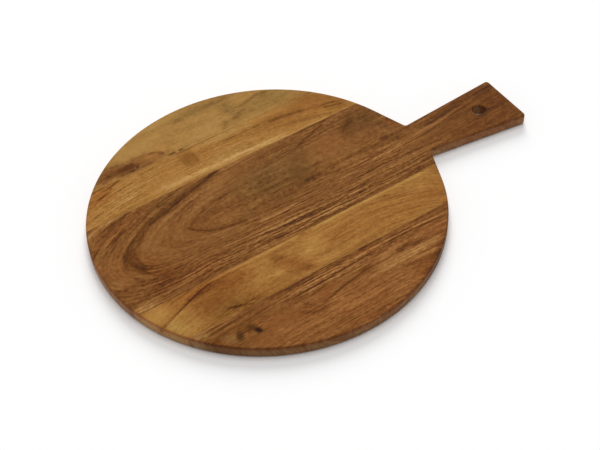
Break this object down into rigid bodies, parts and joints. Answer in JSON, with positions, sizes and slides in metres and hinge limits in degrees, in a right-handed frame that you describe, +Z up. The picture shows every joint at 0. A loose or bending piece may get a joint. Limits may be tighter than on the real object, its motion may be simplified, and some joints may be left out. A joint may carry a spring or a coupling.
{
  "type": "round cutting board",
  "caption": "Round wooden cutting board with a short flared handle and a hanging hole, edge-glued from staves of contrasting brown and golden hardwood.",
  "frame": {"origin": "centre of the disc on the underside", "axes": "+X along the handle, away from the disc; +Y across the board; +Z up, out of the cutting face"},
  "size_m": [0.4, 0.3, 0.01],
  "materials": {
    "brown_heartwood": "oiled, satin to matte",
    "golden_back_inner": "oiled, satin to matte",
    "golden_back_outer": "oiled, satin to matte",
    "golden_front_inner": "oiled, satin to matte",
    "orange_front_outer": "oiled, satin to matte",
    "cured_glue": "sanded flush, matte"
  },
  "bodies": {
    "root": {"handle_stave": "brown_heartwood", "back_inner_stave": "golden_back_inner", "back_outer_stave": "golden_back_outer", "front_inner_stave": "golden_front_inner", "front_outer_stave": "orange_front_outer", "back_inner_glue_line": "cured_glue", "back_outer_glue_line": "cured_glue", "front_inner_glue_line": "cured_glue", "front_outer_glue_line": "cured_glue"}
  },
  "joints": []
}
